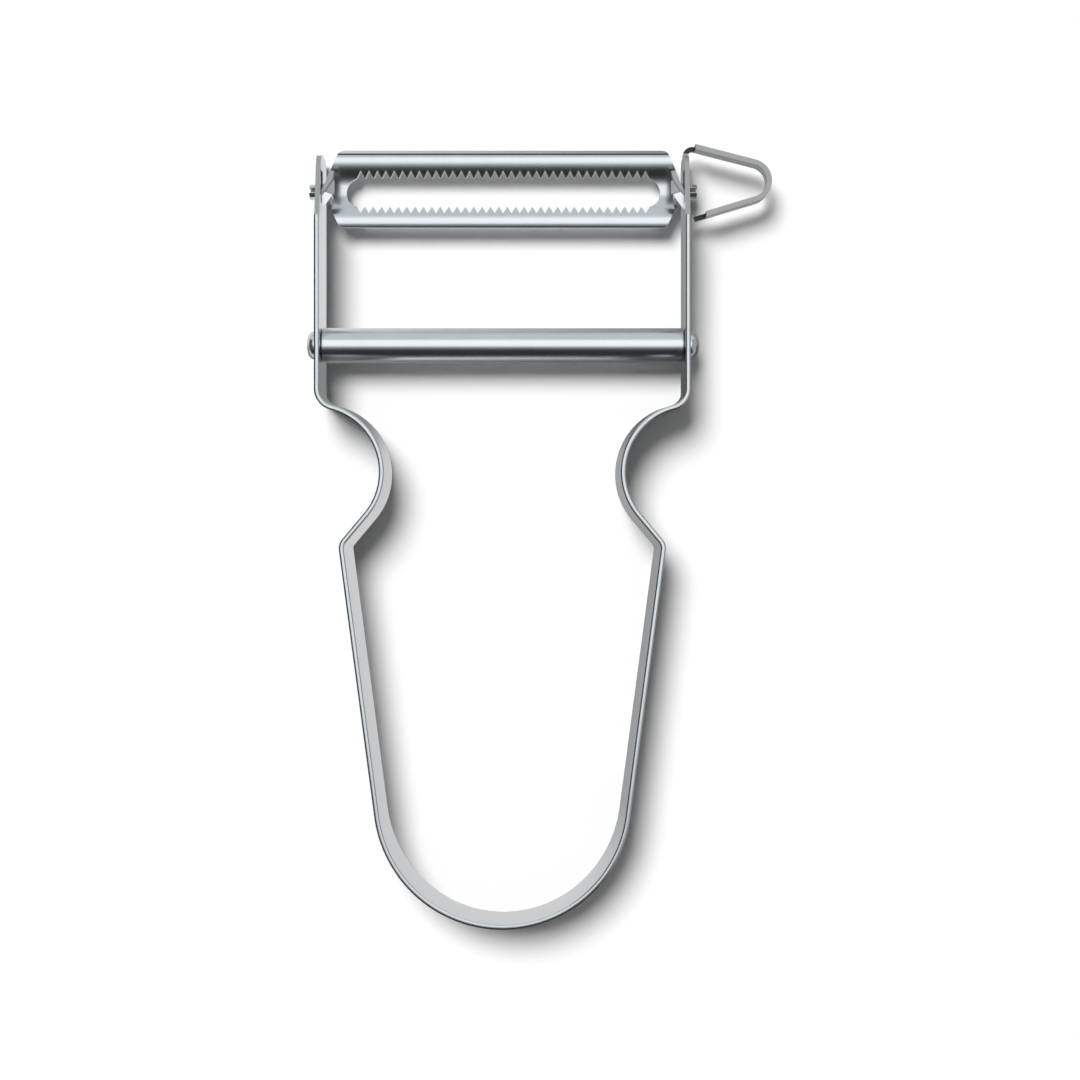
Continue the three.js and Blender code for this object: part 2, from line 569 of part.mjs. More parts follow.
function buildCrossbar() {
  const outer = CROSSBAR_DIAMETER / 2;
  const inner = outer - CROSSBAR_WALL;
  const halfLength = ARM_INNER_X - CROSSBAR_END_GAP;
  const seamFrom = CROSSBAR_SEAM / 2 - Math.PI / 2;
  const seamTo = (3 * Math.PI) / 2 - CROSSBAR_SEAM / 2;
  const ring = [
    ...arcPoints(CROSSBAR_Y, STRIP_MIDDLE_Z, outer, seamFrom, seamTo),
    ...arcPoints(CROSSBAR_Y, STRIP_MIDDLE_Z, inner, seamTo, seamFrom),
  ];
  return toSolid(plateAlongX(ring, -halfLength, halfLength));
}

// Rivet, turned about the X axis

function turnedAlongX(profile) {
  const geometry = new THREE.LatheGeometry(profile, ROUND_SIDES);
  return geometry.rotateZ(-Math.PI / 2).translate(0, CROSSBAR_Y, STRIP_MIDDLE_Z);
}

// A domed head as profile points from its rim to its crown, standing on the arm's outer face
function headProfile(height) {
  const rim = RIVET_HEAD_DIAMETER / 2;
  const seat = ARM_OUTER_X + RIVET_HEAD_GAP;
  const domeRadius = (rim ** 2 + height ** 2) / (2 * height);
  const sweep = Math.asin(rim / domeRadius);
  const steps = 6;
  return Array.from({ length: steps + 1 }, (unused, i) => {
    const angle = sweep * (1 - i / steps);
    const radius = i === steps ? 0 : domeRadius * Math.sin(angle);
    return new THREE.Vector2(radius, seat + height - domeRadius * (1 - Math.cos(angle)));
  });
}

function buildRivet() {
  const seat = ARM_OUTER_X + RIVET_HEAD_GAP;
  const button = headProfile(RIVET_BUTTON_HEIGHT).map((point) => new THREE.Vector2(point.x, -point.y));
  const profile = [
    ...button.reverse(),
    new THREE.Vector2(RIVET_SHANK_RADIUS, -seat),
    new THREE.Vector2(RIVET_SHANK_RADIUS, seat),
    ...headProfile(RIVET_PEENED_HEIGHT),
  ];
  return toSolid(turnedAlongX(profile));
}

// The assembled peeler

function piece(name, solid, finish) {
  const mesh = new THREE.Mesh(toGeometry(solid), new THREE.MeshStandardMaterial(finish));
  mesh.name = name;
  return mesh;
}

const peeler = new THREE.Group();
peeler.name = 'serrated_peeler';
peeler.add(piece('bow', buildBow(), STAINLESS));
peeler.add(piece('crossbar', buildCrossbar(), STAINLESS));
peeler.add(piece('through_rivet', buildRivet(), STAINLESS));
peeler.add(piece('blade', buildBlade(), GROUND_STEEL));

export default peeler;
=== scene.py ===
"""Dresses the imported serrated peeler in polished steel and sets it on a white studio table."""

import json
import math

import bpy
import bmesh
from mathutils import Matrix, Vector


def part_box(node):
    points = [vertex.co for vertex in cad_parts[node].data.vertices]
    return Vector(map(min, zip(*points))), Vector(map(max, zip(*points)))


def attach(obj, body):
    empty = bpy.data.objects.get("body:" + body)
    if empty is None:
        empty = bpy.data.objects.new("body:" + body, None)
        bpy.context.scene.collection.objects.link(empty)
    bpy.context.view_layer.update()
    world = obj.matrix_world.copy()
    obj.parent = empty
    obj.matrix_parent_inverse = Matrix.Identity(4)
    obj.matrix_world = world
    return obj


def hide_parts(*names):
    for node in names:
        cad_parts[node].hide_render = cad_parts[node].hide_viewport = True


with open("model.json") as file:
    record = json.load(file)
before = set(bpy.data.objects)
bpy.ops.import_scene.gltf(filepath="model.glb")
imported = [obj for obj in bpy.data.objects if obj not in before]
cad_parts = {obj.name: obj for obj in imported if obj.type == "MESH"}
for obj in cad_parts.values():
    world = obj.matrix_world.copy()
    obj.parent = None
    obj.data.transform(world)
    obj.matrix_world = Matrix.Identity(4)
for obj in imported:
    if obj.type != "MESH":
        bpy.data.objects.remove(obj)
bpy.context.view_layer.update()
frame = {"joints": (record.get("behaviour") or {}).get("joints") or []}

bl_info = {
    "name": "Serrated Peeler",
    "version": (1, 0, 0),
    "blender": (4, 5, 0),
    "location": "View3D > Sidebar > Peeler",
    "description": "Builds the steel pieces of a serrated swivel peeler and the table it lies on",
    "category": "Add Mesh",
}

MM = 0.001
PIVOT = Vector(frame["joints"][0]["pos_m"])
BAR_LOW, BAR_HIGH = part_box("crossbar")
BAR_MIDDLE = (BAR_LOW + BAR_HIGH) / 2

# Degrees from point to point round a bend, a corner or hole, an edge, a bay and the rivet
BEND_STEP = 3.0
CORNER_STEP = 6.0
BACK_EDGE_STEP = 18.0
BLADE_EDGE_STEP = 15.0
BAY_STEP = 5.0
RIVET_STEP = 7.5

# Steps along a tongue's roll and across its sheet, and from the rim of a rivet head to its crown
ROLL_STEPS = 14
TONGUE_STEPS = 40
HEAD_STEPS = 14

# Faces that meet at a smaller angle than this, in degrees, are shaded as one
SMOOTH_LIMIT = 32.0
RIVET_SMOOTH_LIMIT = 40.0

# How strongly large faces lead the shading, of 100
LARGE_FACE_LEAD = 100

# Decimals of a metre that tell the points of a ring apart
POINT_DIGITS = 8

# How far a cutting tool stands out beyond what it cuts
SPARE = MM

# How far in from each face the middle of a quarter round lies, as a share of its radius
QUARTER_ROUND = 0.3

# Polishing lines, shear grain and cloudy patches to the metre, along X, Y and Z, and their noise's middle
STRIP_GRAIN = (900.0, 900.0, 9000.0)
FLANK_GRAIN = (3000.0, 3000.0, 3000.0)
BLADE_GRAIN = (600.0, 7000.0, 7000.0)
BAR_GRAIN = (900.0, 9000.0, 9000.0)
RIVET_GRAIN = (2500.0, 2500.0, 2500.0)
SHEARED_GRAIN = (5000.0, 5000.0, 1800.0)
CLOUDS = (240.0, 240.0, 240.0)
NOISE_MIDDLE = 0.5

# The right stop lug from the front, its level flank on the blade's side and the flank's dull corner,
# in millimetres from the arm's middle and the pivot
LUG = (
    (0.25, -2.60), (0.25, -1.05), (-0.20, -0.59), (-1.01, 0.91), (-1.56, 2.40),
    (-2.23, 2.40), (-1.95, 1.17), (-0.94, -0.34), (-0.25, -1.25), (-0.25, -2.60),
)
LUG_FLANK = (
    (-1.96, -0.90), (-1.09, -2.12), (-0.33, -3.13), (-0.09, -2.71), (-0.05, -1.40), (-0.60, -0.45),
)
LUG_CORNER = ((-2.20, 1.05), (-2.20, -0.85), (-0.90, -0.50), (-0.70, -0.35), (-1.72, 1.20))


def length(description, millimetres):
    """A size property, given in millimetres and kept in metres."""
    metres = millimetres * MM
    return bpy.props.FloatProperty(description=description, default=metres, unit="LENGTH", precision=5)


def angle(description, degrees):
    """An angle property, given in degrees and kept in radians."""
    return bpy.props.FloatProperty(description=description, default=math.radians(degrees), subtype="ANGLE")


def colour(description, value):
    """A linear colour property."""
    return bpy.props.FloatVectorProperty(
        description=description, default=value, min=0.0, max=1.0, subtype="COLOR"
    )


def factor(description, value):
    """A property from 0 to 1."""
    return bpy.props.FloatProperty(
        description=description, default=value, min=0.0, max=1.0, subtype="FACTOR"
    )


def number(description, value):
    """A plain number property."""
    return bpy.props.FloatProperty(description=description, default=value)


def vector(description, value):
    """A place or direction property, in metres."""
    return bpy.props.FloatVectorProperty(description=description, default=value)


class BowSizes(bpy.types.PropertyGroup):
    """Sizes of the bent strip; its bends are given along the middle of the sheet."""

    strip_width: length("From the back edge to the front edge", 8.5)
    strip_thickness: length("Sheet thickness of the strip", 0.7)
    edge_round: length("Polished radius along the strip's back edges", 0.25)
    crown_radius: length("Polished crown along each half of the front edge", 0.5)
    crown_fall: angle("How far the crown falls before it meets the strip's faces", 38.0)
    wall_lean: length("How far the back edge sits inside the front edge", 0.45)
    butt_radius: length("Bend at the end of the handle", 17.75)
    side_splay: angle("How far each side opens from straight", 7.55)
    corner_radius: length("Bend between side and waist", 1.65)
    waist_slant: angle("How far the waist closes from straight", 40.0)
    groove_radius: length("Bend of the finger groove", 9.35)
    groove_across: length("Centre of the finger groove, sideways", 26.3)
    groove_along: length("Centre of the finger groove, lengthways", 63.77)
    shoulder_radius: length("Bend between groove and arm", 2.75)
    arm_across: length("Middle of each arm, sideways", 26.05)
    head_length: length("Sheared head at the end of each arm", 9.15)
    head_step: length("Step in the front edge at the foot of a head", 0.5)
    head_taper: angle("Slope of a head's front edge", 12.6)
    head_front_radius: length("Front corner of a head", 1.9)
    head_back_radius: length("Back corner of a head", 1.6)
    tip_above_pivot: length("From the blade's pivot to the end of a head", 4.9)
    bearing_radius: length("Hole that a journal turns in", 1.25)
    rivet_hole_radius: length("Hole that the rivet passes through", 1.6)
    lug_below_pivot: length("From the pivot down to the lug's bend", 2.1)
    lug_rise: length("Height of the stop lug", 4.5)
    lug_width: length("Width of the stop lug", 1.5)
    lug_front: length("Middle of the lug in front of the pivot", 2.37)
    window_width: length("Opening the lug is pressed out of", 2.15)
    window_spare: length("How far the window runs on past the lug's end", 0.15)
    flank_front: length("Front of the lug's level flank, in front of the pivot", 2.9)
    flank_thickness: length("Thickness of the lug's level flank", 0.35)
    corner_set_back: length("How far the dull corner lies behind the flank", 0.05)


class LoopSizes(bpy.types.PropertyGroup):
    """Sizes of the eye remover at the end of the right arm."""

    width: length("Width of the narrow band", 2.5)
    middle_height: length("Middle of the band above the table", 4.15)
    neck_radius: length("Bend from the arm into the loop", 1.0)
    upper_slope: angle("Slope of the upper leg", 14.5)
    lower_slope: angle("Slope of the lower leg", 16.8)
    nose_radius: length("Bend at the loop's nose", 2.7)
    reach: length("How far the loop stands out from the arm", 11.8)
    nose_below_tip: length("Nose centre below the end of the head", 3.7)
    end_gap: length("From the arm to the loop's free end", 0.9)
    end_notch: length("Length of the narrowed free end", 1.6)
    neck_notch: length("Length of the narrowed neck", 0.95)
    neck_above_tip: length("From the end of the head up to the narrowed neck", 0.3)
    notch_depth: length("How much the neck and the free end are narrowed", 1.9)
    neck_extra: length("How much deeper the neck is cut than the free end", 0.05)


class BladeSizes(bpy.types.PropertyGroup):
    """Sizes of the toothed blade."""

    thickness: length("Sheet thickness", 0.45)
    above_pivot: length("Middle of the hollow above the pivot", 0.3)
    trough_radius: length("Hollow along the middle", 4.4)
    flank_slope: angle("Steepest slope of the hollow", 34.0)
    shoulder_radius: length("Easy bend between hollow and rim", 3.8)
    rim_radius: length("Rolled upper rim", 1.8)
    rim_slope: angle("Slope where the rim starts to roll", 8.0)
    rim_fall: angle("How far the upper rim rolls back", 46.0)
    groove_fall: angle("Where on the upper rim's roll the fine groove lies", 18.5)
    groove_width: length("Width of the fine groove along the upper rim", 0.22)
    groove_slope: angle("Slope of the groove's outer side", 24.0)
    lower_rim_radius: length("Rolled lower rim", 2.4)
    lower_rim_fall: angle("How far the lower rim rolls back", 23.6)
    rim_length: length("Length along the rims", 47.4)
    corner_radius: length("Rounded corners of the rims", 0.9)
    end_slant: angle("Slope of the end shoulders", 20.8)
    shoulder_reach: length("Middle of the blade to the end of a shoulder", 25.1)
    notch_inset: length("How far the notches cut back behind the rim's end", 0.1)
    tongue_above: length("Tongue width above the pivot", 2.4)
    tongue_below: length("Tongue width below the pivot", 2.5)
    notch_below: length("From the pivot down to the lower shoulder", 1.9)
    tongue_flat: factor("Share of the tongue that stays flat before it rolls", 0.55)
    tongue_embed: length("How far the tongue starts inside the web", 0.6)
    tongue_joint: length("How much thinner each face of the tongue is inside the web", 0.02)
    journal_radius: length("Rolled journal", 1.1)
    journal_end: length("Middle of the blade to the end of a journal", 27.7)
    journal_taper: length("Length of a journal's softened end", 0.1)
    journal_lip: factor("Share of the sheet's thickness left at a journal's very end", 0.7)
    tooth_pitch: length("From tooth to tooth", 1.2)
    tooth_valleys: bpy.props.IntProperty(description="Valleys in each row", default=35)
    tooth_depth: length("From tip to valley", 1.05)
    tip_gap: length("Between the two rows of tips", 4.1)
    slot_length: length("Over the round bays", 45.1)


class BarSizes(bpy.types.PropertyGroup):
    """Sizes of the crossbar and its rivet."""

    radius: length("Outside of the rolled tube", 2.45)
    wall: length("Sheet thickness of the tube", 0.5)
    seam: angle("Opening of the seam at the back", 6.0)
    end_round: length("Softened end edges of the tube", 0.12)
    shank_radius: length("Rivet shank", 1.5)
    head_radius: length("Rivet heads", 2.05)
    seat: length("Middle of the peeler to the underside of a head", 26.45)
    button_height: length("Left head", 1.4)
    dome_height: length("Right, peened head", 1.5)
    button_fullness: number("How full the left head's corners are", 3.0)
    dome_fullness: number("How full the right head's corners are", 2.2)


class SteelLook(bpy.types.PropertyGroup):
    """Colours and finish of the steel."""

    strip: colour("Bent strip of the bow", (0.52, 0.54, 0.56))
    polished: colour("Bar, rivet and the lugs' level flanks", (0.62, 0.64, 0.66))
    blade: colour("Pressed and ground blade", (0.60, 0.625, 0.65))
    sheared: colour("Dull cut edges of the heads, the loop and the lugs", (0.41, 0.415, 0.42))
    # Painted shade: a near-black colour that stands in for the shade inside the loop's narrowed neck and
    # free end and inside the windows
    hollow: colour("Shaded cuts of the loop's ends and of the windows", (0.05, 0.052, 0.055))
    polish_roughness: factor("Roughness of the polished faces", 0.22)
    polish_wear: factor("How much sheen and relief vary on the polished sheets", 0.05)
    rivet_wear: factor("How much sheen and relief vary on the rivet", 0.08)
    sheared_roughness: factor("Roughness of the cut edges", 0.5)
    sheared_metal: factor("How metallic the cut edges look", 0.85)


class StageLook(bpy.types.PropertyGroup):
    """Table, lights and camera."""

    table: colour("White table top", (0.92, 0.92, 0.92))
    table_size: length("Side of the square table", 6000.0)
    table_drop: length("How far the table lies below the peeler", 0.02)
    # Painted reflection: the steel sees the table as a glow of these set brightnesses, not as its lit face,
    # with painted shadows under the crossbar and beyond the butt
    painted_reflection_left: factor("Brightness of the table's reflection at the left arm", 0.95)
    painted_reflection_right: factor("Brightness of the table's reflection at the right arm", 0.38)
    painted_reflection_at_butt: factor("Brightness of its reflection at the handle's butt", 0.95)
    painted_shadow_under_bar: factor("Brightness of its reflection under the crossbar", 0.35)
    arm_across: length("Middle of the peeler to where each arm's brightness holds", 26.0)
    butt_from: length("Where the butt's brightness starts to fade, lengthways", 2.0)
    butt_to: length("Where the butt's brightness has faded out, lengthways", 18.0)
    dim_below_bar: length("From the crossbar down to the middle of the dim stretch", 6.0)
    dim_core: length("Half of the stretch that is fully dim", 3.0)
    dim_reach: length("Half of the stretch that is dim at all", 10.0)
    butt_edge: length("Outer side of the butt, lengthways", -0.3)
    shadow_near: length("Where the shadow beyond the butt is deepest, lengthways", -1.0)
    shadow_far: length("Where the shadow beyond the butt ends, lengthways", -12.0)
    shadow_near_level: factor("Brightness where that shadow is deepest", 0.10)
    shadow_far_level: factor("Brightness where that shadow ends", 0.9)
    room_level: factor("Even light of the room", 0.18)
    key_power: number("Strength of the window light, upper left", 3.45)
    key_softness: angle("How wide the window light is", 30.0)
    key_place: vector("Where the window light hangs", (-0.2, 0.5, 0.5))
    key_direction: vector("Which way the window light shines", (0.33, -0.51, -1.0))
    camera_height: length("Camera above the table", 236.1)
    camera_across: length("Camera sideways", 5.28)
    camera_along: length("Camera lengthways", 54.25)
    lens: number("Focal length in millimetres", 54.2)
    sensor: number("Sensor width in millimetres", 36.0)
    nearest_seen: length("Where the camera starts to see", 10.0)


# Shader maths


class Value:
    """A shader socket that can be used in Python sums; a comparison gives 1 or 0."""

    def __init__(self, shader, socket):
        self.shader = shader
        self.socket = socket

    def _math(self, operation, first, second):
        return self.shader.node("ShaderNodeMath", {0: first, 1: second}, {"operation": operation})

    def __add__(self, other):
        return self._math("ADD", self, other)

    def __sub__(self, other):
        return self._math("SUBTRACT", self, other)

    def __rsub__(self, other):
        return self._math("SUBTRACT", other, self)

    def __mul__(self, other):
        return self._math("MULTIPLY", self, other)

    def __lt__(self, other):
        return self._math("LESS_THAN", self, other)

    def __gt__(self, other):
        return self._math("GREATER_THAN", self, other)

    def __abs__(self):
        return self._math("ABSOLUTE", self, 0.0)


class Shader:
    """One node tree, of a material or of the room."""

    def __init__(self, owner, end):
        owner.use_nodes = True
        self.owner = owner
        self.end = end
        self.tree = owner.node_tree
        self.tree.nodes.clear()

    def node(self, kind, inputs=None, settings=None, output=0):
        """Adds a node, its settings first and then its sockets, and returns one output."""
        made = self.tree.nodes.new(kind)
        for key, value in (settings or {}).items():
            if key == "stops":
                stops = made.color_ramp.elements
                while len(stops) < len(value):
                    stops.new(1.0)
                for stop, (position, rgb) in zip(stops, value):
                    stop.position = position
                    stop.color = opaque(rgb)
            else:
                setattr(made, key, value)
        for key, value in (inputs or {}).items():
            if isinstance(value, Value):
                self.tree.links.new(value.socket, made.inputs[key])
            else:
                made.inputs[key].default_value = value
        return Value(self, made.outputs[output]) if made.outputs else None

    def surface(self, value):
        """Ends the tree with its surface."""
        self.node(self.end, {"Surface": value})
        return self.owner


def material(name):
    return Shader(bpy.data.materials.new(name), "ShaderNodeOutputMaterial")


def opaque(rgb):
    return (rgb[0], rgb[1], rgb[2], 1.0)


def stretched(shader, scale):
    """Object coordinates stretched by a scale on each axis."""
    place = shader.node("ShaderNodeTexCoord", output="Object")
    return shader.node("ShaderNodeMapping", {"Vector": place, "Scale": scale})


def noise(shader, scale, detail, roughness=0.5):
    """Fine noise with so many grains to the metre on each axis."""
    return shader.node("ShaderNodeTexNoise", {
        "Vector": stretched(shader, scale), "Scale": 1.0, "Detail": detail, "Roughness": roughness,
    })


def scaled(shader, rgb, scale):
    return shader.node("ShaderNodeVectorMath", {0: rgb, "Scale": scale}, {"operation": "SCALE"})


def metal(shader, tint, metallic, roughness, height, strength, depth):
    """Ends a material as metal with a fine relief."""
    relief = shader.node("ShaderNodeBump", {"Height": height, "Strength": strength, "Distance": depth})
    return shader.surface(shader.node("ShaderNodeBsdfPrincipled", {
        "Base Color": tint, "Metallic": metallic, "Roughness": roughness, "Normal": relief,
    }))


def steel(name, rgb, grain, roughness, wear):
    """Polished sheet steel: fine lines of the last polish, faint cloudy patches, a soft sheen."""
    dark_tone, line_tone, cloud_tone = 0.90, 0.10, 0.10
    line_depth = 0.02 * MM
    shader = material(name)
    lines = noise(shader, grain, detail=3.0, roughness=0.6)
    clouds = noise(shader, CLOUDS, detail=2.0)
    tint = scaled(shader, rgb, lines * line_tone + clouds * cloud_tone + dark_tone)
    rough = (lines - NOISE_MIDDLE) * wear + (clouds - NOISE_MIDDLE) * wear + roughness
    return metal(shader, tint, 1.0, rough, lines, wear, line_depth)


def sheared_steel(name, rgb, look):
    """The grainy face that a shear leaves on a cut edge."""
    dark_tone, grain_tone = 0.82, 0.35
    spread, relief, grain_depth = 0.2, 0.35, 0.04 * MM
    shader = material(name)
    grain = noise(shader, SHEARED_GRAIN, detail=4.0)
    tint = scaled(shader, rgb, grain * grain_tone + dark_tone)
    rough = grain * spread + (look.sheared_roughness - spread / 2)
    return metal(shader, tint, look.sheared_metal, rough, grain, relief, grain_depth)


def rays(shader, *kinds):
    """Chosen outputs of one Light Path node."""
    outputs = shader.node("ShaderNodeLightPath").socket.node.outputs
    return [Value(shader, outputs[kind]) for kind in kinds]


def mirrored_rays(shader):
    """1 for what the camera sees in the metal or through a piece, 0 for its own rays and for lighting."""
    glossy, transmission, bounces = rays(shader, "Is Glossy Ray", "Is Transmission Ray", "Diffuse Depth")
    half_a_bounce = 0.5
    return (glossy + transmission) * (bounces < half_a_bounce)


def graded(shader, value, start, stop, low=0.0, high=1.0, kind="LINEAR"):
    """A value run from low at start to high at stop and held beyond them."""
    return shader.node("ShaderNodeMapRange", {
        "Value": value, "From Min": start, "From Max": stop, "To Min": low, "To Max": high,
    }, {"interpolation_type": kind})


def white_table(name, look):
    """White table top; in the steel it shows a painted reflection, a set glow in place of its lit face: pale
    at the left and the butt, darker at the right, with painted shadow under the crossbar and beyond the
    butt.
    """
    shader = material(name)
    place = shader.node("ShaderNodeTexCoord", output="Object")
    sideways = shader.node("ShaderNodeSeparateXYZ", {"Vector": place}, output="X")
    lengthways = Value(shader, sideways.socket.node.outputs["Y"])
    # Painted reflection: the table's brightness in the steel is set by place, pale at the left and the butt
    # and darker at the right
    fade = graded(shader, sideways, -look.arm_across, look.arm_across, look.painted_reflection_left, look.painted_reflection_right)
    off_butt = graded(shader, lengthways, look.butt_from, look.butt_to, kind="SMOOTHSTEP")
    painted_reflection_in_bow = fade * off_butt + (1 - off_butt) * look.painted_reflection_at_butt
    deepest, faintest = look.shadow_near_level, look.shadow_far_level
    # Painted shadow in the reflection, dark just beyond the butt and fading away from it
    painted_shadow_beyond_butt = graded(shader, lengthways, look.shadow_far, look.shadow_near, faintest, deepest)
    inside = lengthways > look.butt_edge
    # Painted shadow in the reflection, dim in a stretch under the crossbar
    off_bar = abs(lengthways + (look.dim_below_bar - BAR_MIDDLE.y))
    dim = graded(shader, off_bar, look.dim_core, look.dim_reach, look.painted_shadow_under_bar, 1.0, "SMOOTHSTEP")
    paper = shader.node("ShaderNodeBsdfDiffuse", {"Color": opaque(look.table)})
    brightness = (painted_reflection_in_bow * inside + (1 - inside) * painted_shadow_beyond_butt) * dim
    shown = shader.node("ShaderNodeEmission", {"Color": brightness})
    return shader.surface(shader.node("ShaderNodeMixShader", {0: mirrored_rays(shader), 1: paper, 2: shown}))


def studio_room(name, level):
    """Even room light, with a white background."""
    shader = Shader(bpy.data.worlds.new(name), "ShaderNodeOutputWorld")
    white = opaque((1.0, 1.0, 1.0))
    light = shader.node("ShaderNodeBackground", {"Color": white, "Strength": level})
    backdrop = shader.node("ShaderNodeBackground", {"Color": white, "Strength": 1.0})
    camera = rays(shader, "Is Camera Ray")[0]
    return shader.surface(shader.node(
        "ShaderNodeMixShader", {0: camera + mirrored_rays(shader), 1: light, 2: backdrop}
    ))


def card_paper(name, rgb, glow, grades):
    """Card or soft box that only shows in reflections, graded from its foot (0) to its head (1)."""
    shader = material(name)
    place = shader.node("ShaderNodeTexCoord", output="Object")
    upwards = shader.node("ShaderNodeSeparateXYZ", {"Vector": place}, output="Y")
    stops = [(height, [channel * grade for channel in rgb]) for height, grade in grades]
    shade = shader.node("ShaderNodeValToRGB", {0: upwards * 0.5 + 0.5}, {"stops": stops})
    shown = scaled(shader, shade, mirrored_rays(shader))
    return shader.surface(shader.node("ShaderNodeEmission", {"Color": shown, "Strength": glow}))


# Modelling


def begin():
    """Object mode with nothing selected."""
    if bpy.context.object and bpy.context.object.mode != "OBJECT":
        bpy.ops.object.mode_set(mode="OBJECT")
    bpy.ops.object.select_all(action="DESELECT")


def activate(piece):
    begin()
    piece.hide_set(False)
    piece.select_set(True)
    bpy.context.view_layer.objects.active = piece


def ring_of(points, name):
    """A new piece that is one ring of vertices, left in edit mode and all selected."""
    begin()
    bpy.ops.mesh.primitive_circle_add(vertices=len(points), radius=MM, fill_type="NOTHING")
    piece = bpy.context.object
    piece.name = name
    piece.data.name = name
    bpy.ops.object.mode_set(mode="EDIT")
    mesh = bmesh.from_edit_mesh(piece.data)
    mesh.verts.ensure_lookup_table()
    for vertex, point in zip(mesh.verts, points):
        vertex.co = point
    bpy.ops.mesh.select_all(action="SELECT")
    return piece


def close(piece):
    """Leaves edit mode with every face turned outwards."""
    bpy.ops.mesh.select_all(action="SELECT")
    bpy.ops.mesh.normals_make_consistent(inside=False)
    begin()
    return piece


def lofted(name, rings):
    """A closed piece drawn ring by ring: extrude the open end, then set it on the next ring."""
    piece = ring_of(rings[0], name)
    bpy.ops.mesh.edge_face_add()
    for earlier, ring in zip(rings, rings[1:]):
        bpy.ops.mesh.extrude_region_move()
        mesh = bmesh.from_edit_mesh(piece.data)
        mesh.verts.ensure_lookup_table()
        places = {rounded(old): new for old, new in zip(earlier, ring)}
        for vertex in mesh.verts[len(mesh.verts) - len(ring):]:
            vertex.co = places[rounded(vertex.co)]
        bmesh.update_edit_mesh(piece.data)
    return close(piece)


def rounded(point):
    return tuple(round(part, POINT_DIGITS) for part in point)


def plate(name, outline, direction):
    """A flat outline extruded along a direction."""
    piece = ring_of(outline, name)
    bpy.ops.mesh.edge_face_add()
    bpy.ops.mesh.extrude_region_move(TRANSFORM_OT_translate={"value": direction})
    return close(piece)


def discard(piece):
    data = piece.data
    bpy.data.objects.remove(piece)
    bpy.data.meshes.remove(data)


def combine(piece, tool, operation):
    """Applies one Boolean with a tool piece and throws the tool away."""
    activate(piece)
    modifier = piece.modifiers.new("combine", "BOOLEAN")
    modifier.object = tool
    modifier.operation = operation
    modifier.solver = "EXACT"
    modifier.material_mode = "TRANSFER"
    bpy.ops.object.modifier_apply(modifier=modifier.name)
    discard(tool)


def mirrored(piece, name):
    """A copy of a piece on the other side of the middle plane."""
    activate(piece)
    bpy.ops.object.duplicate()
    copy = bpy.context.object
    copy.name = name
    bpy.ops.object.mode_set(mode="EDIT")
    mesh = bmesh.from_edit_mesh(copy.data)
    for vertex in mesh.verts:
        vertex.co.x = -vertex.co.x
    bpy.ops.mesh.select_all(action="SELECT")
    bpy.ops.mesh.flip_normals()
    begin()
    return copy


def smoothed(piece, limit=SMOOTH_LIMIT):
    """Soft shading on bends, crisp at corners, flat on flats."""
    activate(piece)
    bpy.ops.object.shade_smooth_by_angle(angle=math.radians(limit))
    modifier = piece.modifiers.new("even", "WEIGHTED_NORMAL")
    modifier.mode = "FACE_AREA"
    modifier.weight = LARGE_FACE_LEAD
    modifier.keep_sharp = True
    bpy.ops.object.modifier_apply(modifier=modifier.name)


def seat_in_frame(piece, node, body):
    """Puts a finished piece in place of its CAD node."""
    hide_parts(node)
    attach(piece, body)


def round_steps(start, stop, step):
    """How many steps of so many degrees an arc is drawn in."""
    return max(2, math.ceil(abs(math.degrees(stop - start)) / step))


def arc(centre, radius, start, stop, step=BEND_STEP):
    """Points of an arc in a plane, both ends included."""
    count = round_steps(start, stop, step)
    turns = [start + (stop - start) * i / count for i in range(count + 1)]
    return [Vector((centre[0] + radius * math.cos(t), centre[1] + radius * math.sin(t))) for t in turns]


def circle(centre, radius, step=CORNER_STEP):
    """Points round a whole circle."""
    return arc(centre, radius, 0.0, 2 * math.pi, step)[:-1]


def eased(part):
    """0 to 1 with a soft start and a soft end."""
    return part * part * (3 - 2 * part)


def across(points, x):
    """Outline points (y, z) set upright at one x."""
    return [Vector((x, point[0], point[1])) for point in points]


def box_outline(low_y, high_y, low_z, high_z):
    return [(low_y, low_z), (high_y, low_z), (high_y, high_z), (low_y, high_z)]


# Bow


def bend(centre, radius, start, stop, turn, lean_from, lean_to):
    """Places (x, y, heading, lean) round a bend; turn is 1 to the left and -1 to the right."""
    count = round_steps(start, stop, BEND_STEP)
    places = []
    for i in range(count + 1):
        part = i / count
        heading = start + (stop - start) * part
        side = heading - turn * math.pi / 2
        lean = lean_from + (lean_to - lean_from) * eased(part)
        x, y = centre[0] + radius * math.cos(side), centre[1] + radius * math.sin(side)
        places.append((x, y, heading, lean))
    return places


